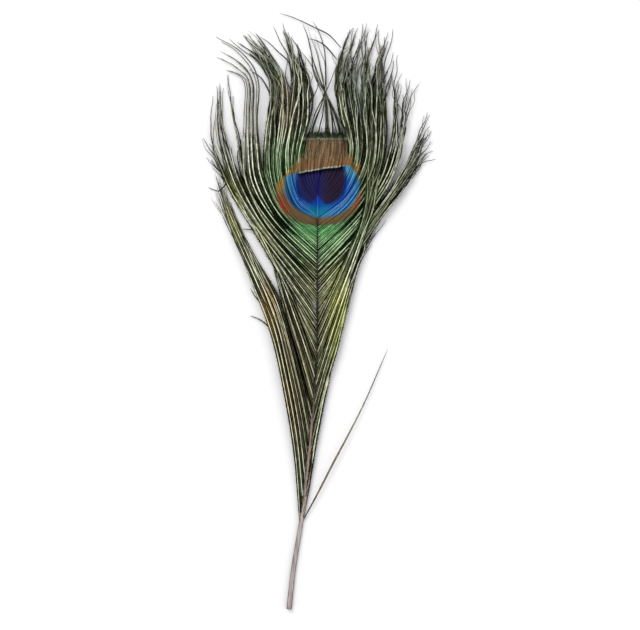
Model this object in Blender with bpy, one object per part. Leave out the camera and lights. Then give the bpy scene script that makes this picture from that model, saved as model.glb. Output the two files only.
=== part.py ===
# A peacock eye feather with a cut stem, lying flat with its patterned face up.
# The model is in metres with +Z up and +Y towards the feather's tip.
# The origin is on the flat underside of the vane, below the middle of the eye.

import math

import bmesh
import bpy
from mathutils import Matrix, Vector

MM = 0.001
FEATHER_NAME = "feather"
WELD_DISTANCE = 0.001 * MM

# Shaft: its middle line from the cut end to the eye, in millimetres like all sizes below.
SHAFT_ROUTE = [
    (-14.5, -212.0),
    (-12.3, -192.0),
    (-8.9, -171.0),
    (-5.7, -152.0),
    (-3.1, -122.0),
    (-0.8, -92.0),
    (0.0, -50.0),
    (0.0, -14.0),
    (0.0, 9.0),
]
SHAFT_WIDTH_AT_CUT = 2.7
SHAFT_WIDTH_AT_EYE = 0.9
SHAFT_STATIONS = 26
SHAFT_SIDES = 8
SHAFT_LIFT = 0.1

# Vane: the close-knit middle, an oval around the eye that runs to a point below it.
VANE_HALF_WIDTH = 23.5
VANE_TOP_Y = 30.0
VANE_POINT_Y = -46.0
VANE_POINT_SHARPNESS = 0.35
VANE_THICKNESS = 1.0
VANE_STATIONS = 44

# Locks: bunches of barbs, flattened, each from the shaft to a tip.
LOCK_STATIONS = 8
LOCK_SIDES = 4
LOCK_FLATNESS = 0.27
LOCK_OVERLAP = 1.25
LOCK_WIDTH_AT_ROOT = 1.3
LOCK_WIDTH_AT_TIP = 0.9
LOCK_MOST_WIDTH = 4.4
LOCK_ROOT_TAPER = 0.16
LOCK_TIP_TAPER = 0.25
LOCK_TIP_SCATTER = 0.05
ROOT_HEIGHT = 1.0
TIP_HEIGHT = 0.9
SHINGLE_STEP = 0.35
SHINGLE_LAYERS = 3
GOLDEN_ANGLE = math.pi * (3 - math.sqrt(5))

# Each tuft is a run of locks between two courses, the first nearer the feather's middle.
# A course has six places: root on the shaft, bend, flank, waist, neck and tip.
# The arch is how far a lock rises between its root and its tip.
TUFTS = {
    "crown_left": {
        "locks": 4,
        "arch": 2.6,
        "inner": [(0, -4), (-7.5, 5), (-8.5, 21), (-3.5, 42), (-3.5, 61), (-9, 79)],
        "outer": [(0, -13), (-11, -6), (-16.5, 12), (-13.5, 36), (-13.5, 60), (-21, 88)],
    },
    "upper_left": {
        "locks": 5,
        "stations": 10,
        "arch": 3.2,
        "inner": [(0, -14), (-13, -6), (-18.5, 14), (-16.5, 38), (-16, 60), (-29, 84)],
        "outer": [(0, -27), (-18, -10), (-26.5, 9), (-27, 32), (-24.5, 60), (-40, 83)],
    },
    "bent_left": {
        "locks": 4,
        "stations": 11,
        "arch": 3.4,
        "inner": [(0, -29), (-21, -11), (-30, 12), (-30.5, 38), (-31, 60.5), (-51.5, 79)],
        "outer": [(0, -38), (-24, -14), (-35.5, 10), (-37, 36), (-38.5, 58), (-54.5, 64)],
    },
    "flank_left": {
        "locks": 5,
        "arch": 3.0,
        "inner": [(0, -40), (-26, -15), (-38.5, 9), (-43, 27), (-46, 44), (-46.5, 61)],
        "outer": [(0, -58), (-26, -24.5), (-42, -3), (-51, 14), (-55, 28), (-54, 52)],
    },
    "margin_left": {
        "locks": 4,
        "arch": 2.4,
        "inner": [(0, -60), (-24, -28), (-39, -8), (-48, 8), (-53, 20), (-55.5, 34)],
        "outer": [(-0.2, -84), (-10, -60), (-20, -41), (-29, -22.5), (-40, -5), (-50, 9)],
    },
    "inner_left": {
        "locks": 3,
        "arch": 1.6,
        "inner": [(-0.5, -88), (-8, -66), (-14, -52), (-20, -39), (-27, -26), (-36, -12)],
        "outer": [(-2.4, -112), (-7, -92), (-12, -72), (-16, -56), (-19, -45), (-22, -35)],
    },
    "lower_left": {
        "locks": 6,
        "arch": 3.0,
        "inner": [(-3, -118), (-9, -96), (-15, -73), (-20.5, -51), (-31, -31), (-48.5, 2)],
        "outer": [(-8.4, -168), (-11.5, -134), (-17, -100), (-24, -70), (-35, -41), (-51.5, -4)],
    },
    "crown_middle": {
        "locks": 3,
        "arch": 1.2,
        "inner": [(0, 4), (-5.5, 12), (-4, 30), (3, 49), (5, 66), (-1, 86)],
        "outer": [(0, 5), (9, 15), (11, 30), (5, 49), (-3, 65), (-7, 86)],
    },
    "crown_right": {
        "locks": 4,
        "arch": 2.6,
        "inner": [(0, -3), (11, 8), (16, 24), (10.5, 45), (8.5, 64), (15, 86)],
        "outer": [(0, -12), (14.5, -1), (22, 18), (22, 40), (20, 62), (20, 87)],
    },
    "upper_right": {
        "locks": 5,
        "arch": 3.2,
        "inner": [(0, -13), (15.5, -1), (24, 18), (23.5, 40), (21.5, 62), (21.5, 88)],
        "outer": [(0, -28), (19, -10), (31, 9), (35, 32), (35, 56), (32, 84)],
    },
    "side_right": {
        "locks": 4,
        "arch": 3.4,
        "inner": [(0, -30), (21, -10), (33, 10), (37.5, 30), (38, 50), (37, 72)],
        "outer": [(0, -39), (23, -14), (37, 6), (43.5, 24), (46, 42), (48.5, 62)],
    },
    "fan_right": {
        "locks": 5,
        "arch": 3.0,
        "inner": [(0, -41), (22, -19), (37, 1), (46, 16), (52, 30), (56, 48)],
        "outer": [(0, -60), (19, -32), (32, -13), (42, 0), (50, 10.5), (58, 21)],
    },
    "neck_right": {
        "locks": 4,
        "arch": 3.8,
        "inner": [(0, -62), (13, -36), (22.5, -13), (25, 6), (24, 26), (19, 58)],
        "outer": [(-0.5, -88), (12, -55), (22, -27), (30, -3), (33, 20), (28, 62)],
    },
    "margin_right": {
        "locks": 5,
        "arch": 2.6,
        "inner": [(-0.8, -92), (7, -68), (15, -44), (23, -22), (32, -3), (39, 28)],
        "outer": [(-3.3, -124), (3, -102), (9.5, -80), (15.5, -56), (21, -35), (39, -6)],
    },
    "foot_right": {
        "locks": 3,
        "arch": 1.6,
        "inner": [(-3.6, -128), (0.5, -112), (5, -95), (9, -79), (12, -66), (15, -52)],
        "outer": [(-8, -165), (-4.5, -149), (-2, -131), (1, -113), (5, -96), (9, -80)],
    },
    "loose_right": {
        "locks": 1,
        "arch": 2.0,
        "inner": [(-8.6, -169), (-0.5, -153), (8, -136), (16, -121), (24, -105), (35, -80)],
        "outer": [(-8.7, -170), (0.6, -154), (9, -137), (17, -122), (25, -106), (36.5, -79)],
    },
}

FEATHER_COLOUR = (0.13, 0.14, 0.06, 1.0)
FEATHER_ROUGHNESS = 0.45
FEATHER_METALLIC = 0.25
SHARP_ANGLE = math.radians(50)


def clear_scene():
    for thing in list(bpy.data.objects):
        bpy.data.objects.remove(thing, do_unlink=True)


def make_collection(name):
    collection = bpy.data.collections.new(name)
    bpy.context.scene.collection.children.link(collection)
    return collection


def along(places, share):
    """A point on the smooth line through the places, at a share from 0 to 1 of its spans."""
    spans = len(places) - 1
    span = min(int(share * spans), spans - 1)
    t = share * spans - span
    p1, p2 = places[span], places[span + 1]
    p0 = places[span - 1] if span else p1 * 2 - p2
    p3 = places[span + 2] if span + 2 < len(places) else p2 * 2 - p1
    return 0.5 * (
        p1 * 2
        + (p2 - p0) * t
        + (p0 * 2 - p1 * 5 + p2 * 4 - p3) * t * t
        + (p1 * 3 - p0 - p2 * 3 + p3) * t * t * t
    )


def mesh_of(curve):
    """The mesh that a curve makes; the curve itself is removed."""
    guide = bpy.data.objects.new(curve.name, curve)
    bpy.context.scene.collection.objects.link(guide)
    bpy.context.view_layer.update()
    evaluated = guide.evaluated_get(bpy.context.evaluated_depsgraph_get())
    mesh = bpy.data.meshes.new_from_object(evaluated)
    bpy.data.objects.remove(guide, do_unlink=True)
    bpy.data.curves.remove(curve)
    return mesh


def solid_from(name, mesh, guides):
    """A hidden solid of the mesh, welded, with its faces outwards and flat."""
    work = bmesh.new()
    work.from_mesh(mesh)
    bmesh.ops.remove_doubles(work, verts=work.verts, dist=WELD_DISTANCE)
    bmesh.ops.recalc_face_normals(work, faces=work.faces)
    bmesh.ops.triangulate(work, faces=work.faces)
    work.to_mesh(mesh)
    work.free()
    solid = bpy.data.objects.new(name, mesh)
    solid.display_type = "WIRE"
    solid.hide_render = True
    guides.objects.link(solid)
    return solid


def tapered_tube(name, points, widths, flatness, sides, guides):
    """A closed tube through the points, as wide as the widths and flattened in height."""
    curve = bpy.data.curves.new(name, "CURVE")
    curve.dimensions = "3D"
    curve.twist_mode = "Z_UP"
    curve.bevel_depth = MM / 2
    curve.bevel_resolution = (sides - 4) // 2
    curve.use_fill_caps = True
    spline = curve.splines.new("POLY")
    spline.points.add(len(points) - 1)
    for place, point, width in zip(spline.points, points, widths):
        place.co = (point.x * MM, point.y * MM, point.z * MM / flatness, 1.0)
        place.radius = width
    mesh = mesh_of(curve)
    mesh.transform(Matrix.Diagonal((1.0, 1.0, flatness, 1.0)))
    return solid_from(name, mesh, guides)


def make_shaft(guides):
    places = [Vector(place) for place in SHAFT_ROUTE]
    points, widths = [], []
    for station in range(SHAFT_STATIONS):
        share = station / (SHAFT_STATIONS - 1)
        spot = along(places, share)
        width = SHAFT_WIDTH_AT_CUT + (SHAFT_WIDTH_AT_EYE - SHAFT_WIDTH_AT_CUT) * share
        points.append(Vector((spot.x, spot.y, SHAFT_LIFT + width / 2)))
        widths.append(width)
    return tapered_tube("shaft", points, widths, 1.0, SHAFT_SIDES, guides)


def vane_edge(angle):
    """A point of the vane's outline, with the angle measured from the tip's side."""
    side, rise = math.sin(angle), math.cos(angle)
    if rise >= 0:
        return VANE_HALF_WIDTH * side, VANE_TOP_Y * rise
    return VANE_HALF_WIDTH * side * abs(side) ** VANE_POINT_SHARPNESS, -VANE_POINT_Y * rise


def make_vane(guides):
    curve = bpy.data.curves.new("vane", "CURVE")
    curve.dimensions = "2D"
    curve.fill_mode = "BOTH"
    curve.extrude = VANE_THICKNESS / 2 * MM
    spline = curve.splines.new("POLY")
    spline.points.add(VANE_STATIONS - 1)
    spline.use_cyclic_u = True
    for station, place in enumerate(spline.points):
        x, y = vane_edge(2 * math.pi * station / VANE_STATIONS)
        place.co = (x * MM, y * MM, 0.0, 1.0)
    mesh = mesh_of(curve)
    mesh.transform(Matrix.Translation((0.0, 0.0, VANE_THICKNESS / 2 * MM)))
    return solid_from("vane", mesh, guides)


def lock_width(spread, share):
    """A lock's width: its part of the tuft, drawn in at the root and towards the tip."""
    width = min(max(LOCK_OVERLAP * spread, LOCK_WIDTH_AT_TIP), LOCK_MOST_WIDTH)
    at_root = max(0.0, 1 - share / LOCK_ROOT_TAPER)
    at_tip = max(0.0, 1 - (1 - share) / LOCK_TIP_TAPER)
    return width + (LOCK_WIDTH_AT_ROOT - width) * at_root + (LOCK_WIDTH_AT_TIP - width) * at_tip


def make_locks(guides):
    locks = []
    for name, tuft in TUFTS.items():
        count = tuft["locks"]
        stations = tuft.get("stations", LOCK_STATIONS)
        inner = [Vector(place) for place in tuft["inner"]]
        outer = [Vector(place) for place in tuft["outer"]]
        for index in range(count):
            places = [a.lerp(b, (index + 0.5) / count) for a, b in zip(inner, outer)]
            scatter = 1 + LOCK_TIP_SCATTER * math.sin(GOLDEN_ANGLE * len(locks))
            places[-1] = places[-2].lerp(places[-1], scatter)
            arch = tuft["arch"] + SHINGLE_STEP * (len(locks) % SHINGLE_LAYERS)
            points, widths = [], []
            for station in range(stations):
                share = station / (stations - 1)
                spot = along(places, share)
                spread = (along(outer, share) - along(inner, share)).length / count
                base = ROOT_HEIGHT + (TIP_HEIGHT - ROOT_HEIGHT) * share
                height = base + arch * math.sin(math.pi * share)
                points.append(Vector((spot.x, spot.y, height)))
                widths.append(lock_width(spread, share))
            lock_name = f"{name}_{index + 1}"
            locks.append(tapered_tube(lock_name, points, widths, LOCK_FLATNESS, LOCK_SIDES, guides))
    return locks


def feather_material():
    material = bpy.data.materials.new("barbs_and_shaft")
    material.use_nodes = True
    shader = material.node_tree.nodes["Principled BSDF"]
    shader.inputs["Base Color"].default_value = FEATHER_COLOUR
    shader.inputs["Roughness"].default_value = FEATHER_ROUGHNESS
    shader.inputs["Metallic"].default_value = FEATHER_METALLIC
    return material


def fuse(first, others):
    """The mesh of the first solid joined with all the others, which are then removed."""
    joined = make_collection("pieces_to_join")
    for piece in others:
        joined.objects.link(piece)
    union = first.modifiers.new("union", "BOOLEAN")
    union.operation = "UNION"
    union.solver = "EXACT"
    union.use_self = True
    union.operand_type = "COLLECTION"
    union.collection = joined
    bpy.context.view_layer.update()
    evaluated = first.evaluated_get(bpy.context.evaluated_depsgraph_get())
    mesh = bpy.data.meshes.new_from_object(evaluated)
    for piece in [first, *others]:
        bpy.data.objects.remove(piece, do_unlink=True)
    bpy.data.collections.remove(joined)
    return mesh


def fill_pockets(mesh):
    """Removes the walls of small pockets sealed between crossing locks, so the feather is solid."""
    work = bmesh.new()
    work.from_mesh(mesh)
    shells, seen = [], set()
    for face in work.faces:
        if face in seen:
            continue
        seen.add(face)
        shell = [face]
        for member in shell:
            for edge in member.edges:
                fresh = [near for near in edge.link_faces if near not in seen]
                seen.update(fresh)
                shell.extend(fresh)
        shells.append(shell)
    shells.sort(key=len)
    pockets = [face for shell in shells[:-1] for face in shell]
    bmesh.ops.delete(work, geom=pockets, context="FACES")
    work.to_mesh(mesh)
    work.free()


def make_feather():
    parts = make_collection("peacock_feather")
    guides = make_collection("guides")
    mesh = fuse(make_vane(guides), [make_shaft(guides), *make_locks(guides)])
    fill_pockets(mesh)
    mesh.name = FEATHER_NAME
    mesh.shade_smooth()
    mesh.set_sharp_from_angle(angle=SHARP_ANGLE)
    mesh.materials.clear()
    mesh.materials.append(feather_material())
    parts.objects.link(bpy.data.objects.new(FEATHER_NAME, mesh))


clear_scene()
make_feather()
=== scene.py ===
import math

import bpy
import numpy as np
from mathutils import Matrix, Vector


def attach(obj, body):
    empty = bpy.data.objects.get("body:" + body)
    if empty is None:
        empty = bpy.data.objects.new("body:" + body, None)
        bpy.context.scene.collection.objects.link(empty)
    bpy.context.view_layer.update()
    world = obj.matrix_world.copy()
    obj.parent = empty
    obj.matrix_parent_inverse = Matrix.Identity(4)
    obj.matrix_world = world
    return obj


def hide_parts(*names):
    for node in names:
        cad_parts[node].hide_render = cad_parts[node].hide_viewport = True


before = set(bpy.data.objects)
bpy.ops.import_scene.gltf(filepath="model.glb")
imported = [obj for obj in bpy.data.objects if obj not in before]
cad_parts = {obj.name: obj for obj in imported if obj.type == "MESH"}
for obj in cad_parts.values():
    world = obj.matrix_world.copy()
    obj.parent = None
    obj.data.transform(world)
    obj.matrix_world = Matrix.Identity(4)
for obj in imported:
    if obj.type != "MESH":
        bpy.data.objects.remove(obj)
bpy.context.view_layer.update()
mm = 0.001  # places are written in millimetres, as seen from above the feather

scene = bpy.context.scene
scene.view_settings.view_transform = "Standard"


def soft(value, low, high):
    # eased share of the way from low to high
    share = np.clip((value - low) / (high - low), 0, 1)
    return share * share * (3 - 2 * share)


def linear(*channels):
    # a colour as picked on a screen, made ready for a shader
    shares = [channel / 255 for channel in channels]
    return tuple(s / 12.92 if s < 0.04 else ((s + 0.055) / 1.055) ** 2.4 for s in shares) + (1.0,)


# Camera, lamps and floor

stage = {
    "middle": (1.3, -62.0), "height": 322, "lens": 85, "sensor": 36, "picture": (640, 630), "farthest": 20,
    "floor": 6.0, "floorShade": (0.93, 0.925, 0.93), "floorRoughness": 0.9,
    "air": (1.0, 1.0, 1.02), "airStrength": 0.62,
    "lamps": {
        "keyLamp": {"at": (-0.55, 0.75, 1.25), "size": 0.9, "power": 13.5, "shade": (1.0, 0.99, 0.97)},
        "fillLamp": {"at": (0.9, -0.35, 1.1), "size": 1.2, "power": 5.0, "shade": (0.97, 0.985, 1.0)},
    },
}


def setStage():
    wide, high = stage["picture"]
    seen = stage["sensor"] * high / wide  # the sensor height that the picture uses
    optics = bpy.data.cameras.new("camera")
    optics.lens, optics.sensor_width, optics.clip_end = stage["lens"], stage["sensor"], stage["farthest"]
    camera = bpy.data.objects.new("camera", optics)
    x, y = stage["middle"]
    camera.location = (x * mm, y * mm, stage["height"] * mm * stage["lens"] / seen)
    scene.collection.objects.link(camera)
    scene.camera = camera

    for name, about in stage["lamps"].items():
        lamp = bpy.data.lights.new(name, "AREA")
        lamp.size, lamp.energy, lamp.color = about["size"], about["power"], about["shade"]
        holder = bpy.data.objects.new(name, lamp)
        holder.location = about["at"]
        away = holder.location - Vector((x * mm, y * mm, 0))
        holder.rotation_euler = away.to_track_quat("Z", "Y").to_euler()
        scene.collection.objects.link(holder)

    world = bpy.data.worlds.new("air")
    world.use_nodes = True
    air = world.node_tree.nodes["Background"]
    air.inputs["Color"].default_value = (*stage["air"], 1)
    air.inputs["Strength"].default_value = stage["airStrength"]
    scene.world = world

    bpy.ops.mesh.primitive_plane_add(size=stage["floor"], location=(x * mm, y * mm, 0))
    floor = bpy.context.active_object
    floor.name = floor.data.name = "floor"
    finish, _, coat = newMaterial("floorPaper")
    coat.inputs["Base Color"].default_value = (*stage["floorShade"], 1)
    coat.inputs["Roughness"].default_value = stage["floorRoughness"]
    floor.data.materials.append(finish)
    print("stage is set")


# Shader maths: one small class, so that a material reads as plain sums

def operator(name, swapped=False):
    if swapped:
        return lambda self, other: self.work(name, other, self)
    return lambda self, other: self.work(name, self, other)


class Shade:
    def __init__(self, tree, socket):
        self.tree, self.socket = tree, socket

    def work(self, operation, *values):
        return addNode(self.tree, "ShaderNodeMath", {"operation": operation}, dict(enumerate(values)))

    __add__, __radd__ = operator("ADD"), operator("ADD", True)
    __sub__, __rsub__ = operator("SUBTRACT"), operator("SUBTRACT", True)
    __mul__, __rmul__ = operator("MULTIPLY"), operator("MULTIPLY", True)
    __truediv__, __pow__ = operator("DIVIDE"), operator("POWER")
    least, most = operator("MINIMUM"), operator("MAXIMUM")

    def __abs__(self):
        return self.work("ABSOLUTE", self)

    def over(self, edge, blur):
        # 0 below the edge, 1 above it, eased across blur
        ease = {"interpolation_type": "SMOOTHSTEP"}
        return addNode(self.tree, "ShaderNodeMapRange", ease, {0: self, 1: edge - blur, 2: edge + blur})

    def under(self, edge, blur):
        return 1 - self.over(edge, blur)


def addNode(tree, kind, settings, values, give=0):
    node = tree.nodes.new(kind)
    for name, setting in settings.items():
        setattr(node, name, setting)
    for name, value in values.items():
        if isinstance(value, Shade):
            tree.links.new(value.socket, node.inputs[name])
        else:
            node.inputs[name].default_value = value
    return Shade(tree, node.outputs[give])


def blend(tree, share, first, second):
    # colour mix: share 0 gives the first colour, 1 the second
    return addNode(tree, "ShaderNodeMix", {"data_type": "RGBA"}, {0: share, 6: first, 7: second}, 2)


def brighten(tree, colour, strength):
    picked = addNode(tree, "ShaderNodeCombineXYZ", {}, {0: strength, 1: strength, 2: strength})
    return addNode(tree, "ShaderNodeVectorMath", {"operation": "MULTIPLY"}, {0: colour, 1: picked})


def newMaterial(name):
    material = bpy.data.materials.new(name)
    material.use_nodes = True
    return material, material.node_tree, material.node_tree.nodes["Principled BSDF"]


def placeOf(tree):
    # millimetres across and along the feather, and the place itself
    place = addNode(tree, "ShaderNodeTexCoord", {}, {}, "Object")
    x = addNode(tree, "ShaderNodeSeparateXYZ", {}, {0: place}, 0) * 1000
    y = addNode(tree, "ShaderNodeSeparateXYZ", {}, {0: place}, 1) * 1000
    return x, y, place


def attribute(tree, name):
    return addNode(tree, "ShaderNodeAttribute", {"attribute_name": name}, {}, "Fac")


def noise(tree, place, scale, detail, shift=0.0):
    settings = {"noise_dimensions": "4D"}
    return addNode(tree, "ShaderNodeTexNoise", settings,
                   {"Vector": place, "W": shift, "Scale": scale, "Detail": detail}, "Fac")


def patch(x, y, middle, reach):
    # 1 at the middle of an oval patch, fading to 0 at its edge
    ovalDistance = (((x - middle[0]) / reach[0]) ** 2 + ((y - middle[1]) / reach[1]) ** 2) ** 0.5
    return ovalDistance.under(0.6, 0.4)


# Colours of the barbs: dark web, pale rib, and the eye drawn over both

tint = {name: linear(*colour) for name, colour in {
    "webDark": (11, 19, 3), "webOlive": (54, 74, 10), "webBrown": (66, 54, 28),
    "ribPale": (230, 233, 205), "ribDull": (100, 110, 58),
    "webGreen": (26, 88, 34), "ribGreen": (164, 222, 156),
    "webVee": (48, 112, 56), "ribVee": (190, 236, 172),
    "webEmerald": (44, 136, 68), "ribEmerald": (136, 212, 138), "teal": (10, 70, 58),
    "webLime": (76, 88, 22), "ribLime": (228, 234, 152),
    "webTan": (84, 54, 26), "ribTan": (210, 188, 134),
    "webMauve": (116, 102, 78), "ribMauve": (202, 188, 160),
    "webGrey": (58, 56, 44), "ribGrey": (132, 128, 108),
    "webBase": (46, 50, 20), "ribBase": (224, 225, 176),
    "webShade": (28, 38, 16), "ribShade": (150, 160, 118),
    "webCool": (40, 60, 42), "ribCool": (150, 172, 140),
    "webStraw": (146, 134, 98), "ribStraw": (206, 194, 158),
    "webLow": (22, 17, 7), "ribLow": (210, 201, 162),
    "pupil": (42, 42, 92), "pupilPlum": (46, 36, 57), "pupilRoof": (4, 8, 20), "streak": (38, 34, 128),
    "notch": (16, 64, 172), "notchFoot": (22, 124, 158), "navy": (10, 26, 88),
    "blue": (20, 80, 172), "blueEdge": (32, 118, 176), "blueTeal": (72, 150, 164),
    "blueRibHighlight": (140, 206, 250), "bronze": (150, 124, 94), "bronzeDark": (108, 85, 60),
    "bronzeLow": (114, 98, 66), "bronzeRib": (84, 62, 42), "gold": (190, 148, 62), "orange": (148, 98, 54),
    "red": (176, 54, 52), "band": (98, 110, 82), "bandRim": (176, 173, 156), "cream": (206, 206, 172),
}.items()}

lowOval, veeOval = ((-14, -98), (14, 60)), ((0.5, -19), (22, 19))
# ovals with their own colours: middle, reach, share, web, rib, and how far the web takes part
zones = [
    ((-1, -74), (14, 56), 0.8, "webBase", "ribBase", 0.75),
    (*lowOval, 1, "webLow", "ribLow", 1),
    ((10.5, -66), (9, 46), 0.95, "webLime", "ribLime", 0.6),
    ((-25, -64), (8, 30), 0.8, "webTan", "ribTan", 0.7),
    ((-26, 64), (20, 40), 0.7, "webCool", "ribCool", 0.8),
    ((-16, 46), (9, 22), 0.8, "webMauve", "ribMauve", 0.8),
    ((0.5, -2), (38, 44), 0.8, "webGreen", "ribGreen", 0.8),
    ((-21, 14), (8, 18), 0.6, "webGreen", "ribVee", 0.8),
    ((-27, -27), (14, 24), 0.6, "webLime", "ribBase", 0.7),
    (*veeOval, 1, "webVee", "ribVee", 1),
    ((0.5, -16), (17, 11), 1, "webEmerald", "ribEmerald", 1),
    ((-16, -15), (7, 6), 0.4, "teal", "teal", 1),
    ((28, -4), (9, 40), 0.8, "webShade", "ribShade", 0.9),
    ((21, 60), (14, 36), 0.7, "webCool", "ribCool", 0.8),
    ((-34, 50), (8, 26), 0.7, "webGrey", "ribGrey", 0.6),
    ((-45, -12), (10, 30), 0.85, "webLime", "ribLime", 0.9),
]
# ovals that are lighter or darker than the rest: middle, reach and change
lightness = [
    ((34, 34), (26, 66), -0.2), ((-21, 16), (7, 20), -0.2), ((9, -38), (13, 32), 0.24),
    ((-16, -50), (10, 20), -0.08), ((-7, -33), (11, 13), 0.2), ((-24, -57), (7, 18), 0.2),
    ((-45, -14), (9, 24), 0.5),
]
# noises by scale, detail and shift from barb to barb
grains = {"mottle": (140, 3, 30), "dashes": (300, 2, 90), "flecks": (900, 2, 60)}

# the drawing of the eye in mm: ovals by middle, reach and power, then straight edges
eyeDrawing = {
    "bronze": ((1, 5), (23.0, 21.4), 2.3), "blue": ((2.2, 3.5), (19.2, 15.6), 2),
    "pupil": ((2, 7.5), (11.8, 13), 2.5), "notch": (0.3, -1.4),
    "roof": 12.6, "roofSlope": 0.14, "roofCrest": 4, "roofBow": 0.004,
    "shoulder": 13, "left": -21.8, "right": 21.2, "bronzeTop": 27.2,
    "bandFoot": 26.8, "bandTop": 34, "bandLeft": -7.5, "bandRight": 16,
}


def overlay(tree, colour, steps):
    # tints laid over a colour one by one, each with its own share
    for share, name in steps:
        colour = blend(tree, share, colour, tint[name])
    return colour


def drawEye(tree, web, ridge, x, y, across, tone, glint, rib, flecks, mottle):
    about = eyeDrawing
    # each barb carries the edges of the drawing a little further in or out than the next
    step = (tone - 0.5) * 0.4 + (flecks - 0.5) * 0.5
    ex, ey = x + step * 0.6, y + step
    ragged = (tone - 0.5) * 3.6 + (mottle - 0.5) * 7
    sparks = flecks.over(0.5, 0.14)
    spotted = 0.3 + sparks * 0.6

    def oval(name, openTop=False):
        middle, reach, power = about[name]
        rise = (ey - middle[1]).least(0) if openTop else ey - middle[1]
        return (abs(ex - middle[0]) / reach[0]) ** power + (abs(rise) / reach[1]) ** power

    def both(share, shade):
        return blend(tree, share, web, shade), blend(tree, share, ridge, shade)

    # the bronze ring, wide above and thin below, with gold, olive and red at its sides
    leftCut = (ex - ey.over(about["shoulder"], 11) * 16.8 + ragged).over(about["left"], 0.8)
    rightCut = (ex + (ey - about["shoulder"]).most(0) * 0.6 + ragged * 0.9).under(about["right"], 0.8)
    bronze = oval("bronze", openTop=True).under(1, 0.06) * leftCut * rightCut
    bronze = bronze * ey.under(about["bronzeTop"], 0.8)
    golden = patch(x, y, (-14, 13), (8, 9))
    sides = abs(ex - 1).over(15, 3) * ey.under(20, 4)
    streaks = tone.under(0.2, 0.03) * across.under(0.6, 0.05)
    bronzeShade = overlay(tree, tint["bronzeDark"], [
        ((mottle * 0.8 + flecks * 0.5).over(0.62, 0.25), "bronze"),
        (ey.under(2, 6) * 0.8, "bronzeLow"),
        (abs(ey - 15).under(1.5, 2.5) * 0.45, "orange"),
        (patch(x, y, (17, 15), (8, 9)) * 0.25, "orange"),
        (patch(x, y, (-19, 6), (5, 9)) * 0.6, "gold"),
        (golden * (1 - rib) * 0.7, "webOlive"),
        (golden * sparks * rib * 0.75, "gold"),
        (patch(x, y, (-18, -7), (6, 9)) * spotted, "red"),
        (patch(x, y, (21, -3), (5, 8)) * spotted, "red"),
        (abs(tone - 0.3).under(0.12, 0.05) * sides * spotted, "gold"),
        (abs(tone - 0.8).under(0.1, 0.05) * sides * 0.7, "webOlive"),
        (streaks * patch(x, y, (4, 20), (26, 14)) * 0.7, "bronzeRib"),
    ])

    # the comb of dark tips above it, with a pale foot
    band = ey.over(about["bandFoot"], 0.9) * ey.under(about["bandTop"], 0.3)
    band = band * (ex + ragged * 0.4).over(about["bandLeft"], 1.2) * ex.under(about["bandRight"], 1.5)
    bandShade = blend(tree, flecks.over(0.5, 0.15), tint["webDark"], tint["band"])
    bandShade = blend(tree, abs(ey - 27.6).under(0.7, 0.5) * 0.85, bandShade, tint["bandRim"])
    web = blend(tree, band * 0.95, web, bandShade)
    ridge = blend(tree, band * 0.9, ridge, tint["webDark"])
    web, ridge = both(bronze, bronzeShade)

    # the blue ring under a slanting roof line, with painted highlights as pale threads along its barbs
    roof = about["roof"] + ex * about["roofSlope"] - (ex - about["roofCrest"]) ** 2 * about["roofBow"]
    blueOval = oval("blue")
    blue = blueOval.under(1, 0.09) * (roof - ey).over(0, 0.3)
    ring = abs(blueOval - 0.72).under(0.24, 0.1)
    # painted highlights: pale lines on the ribs of some barbs
    glintThreads = glint.over(0.6, 0.1).most(tone.over(0.5, 0.04) * 0.9) * across.under(0.37, 0.04)
    shine = ring * glintThreads * (0.55 + ey.under(2, 6) * 0.45)
    web, ridge = both(blue, overlay(tree, tint["blue"], [
        (blueOval.over(0.7, 0.28), "blueEdge"),
        (patch(x, y, (-17, 5), (6, 11)) * 0.6, "blueTeal"),
        (patch(x, y, (18, 12), (7, 6)) * 0.8, "blueTeal"),
        (shine * (0.55 + flecks * 0.6), "blueRibHighlight"),
    ]))
    # painted shade along the web edges, where barbs meet in the ring
    web = blend(tree, across.over(0.7, 0.2) * ring * 0.5 * blue, web, tint["pupil"])

    # the dark pupil, notched from below by a blue wedge
    pupilOval = oval("pupil")
    web, ridge = both(abs(pupilOval - 1.1).under(0.14, 0.14) * blue * ey.over(-4, 4) * 0.75, tint["navy"])
    pupil = pupilOval.under(1, 0.12) * (roof - 0.35 - ey).over(0, 0.25)
    off = abs(ex - about["notch"][0])
    notch = (off + (ey - about["notch"][1]) * 0.9).under(0, 1.3)
    web, ridge = both(patch(x, y, (0.6, -7), (9, 8)) * blue,
                      overlay(tree, tint["notch"], [(ey.under(-6.5, 3), "notchFoot")]))
    web, ridge = both(pupil * (1 - notch), overlay(tree, tint["pupil"], [
        (ex.over(2.5, 5), "pupilPlum"),
        (off.under(1.0, 1.2) * ey.under(9, 4) * 0.6, "streak"),
        ((roof - ey).under(2.2, 1.2) * 0.95, "pupilRoof"),
    ]))
    cream = abs(roof - ey - 0.2).under(0.3, 0.3) * ex.over(-9, 1.5) * ex.under(13, 3)
    web, ridge = both(cream * 0.8, tint["cream"])
    return web, ridge, bronze.most(blue).most(band)


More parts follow.
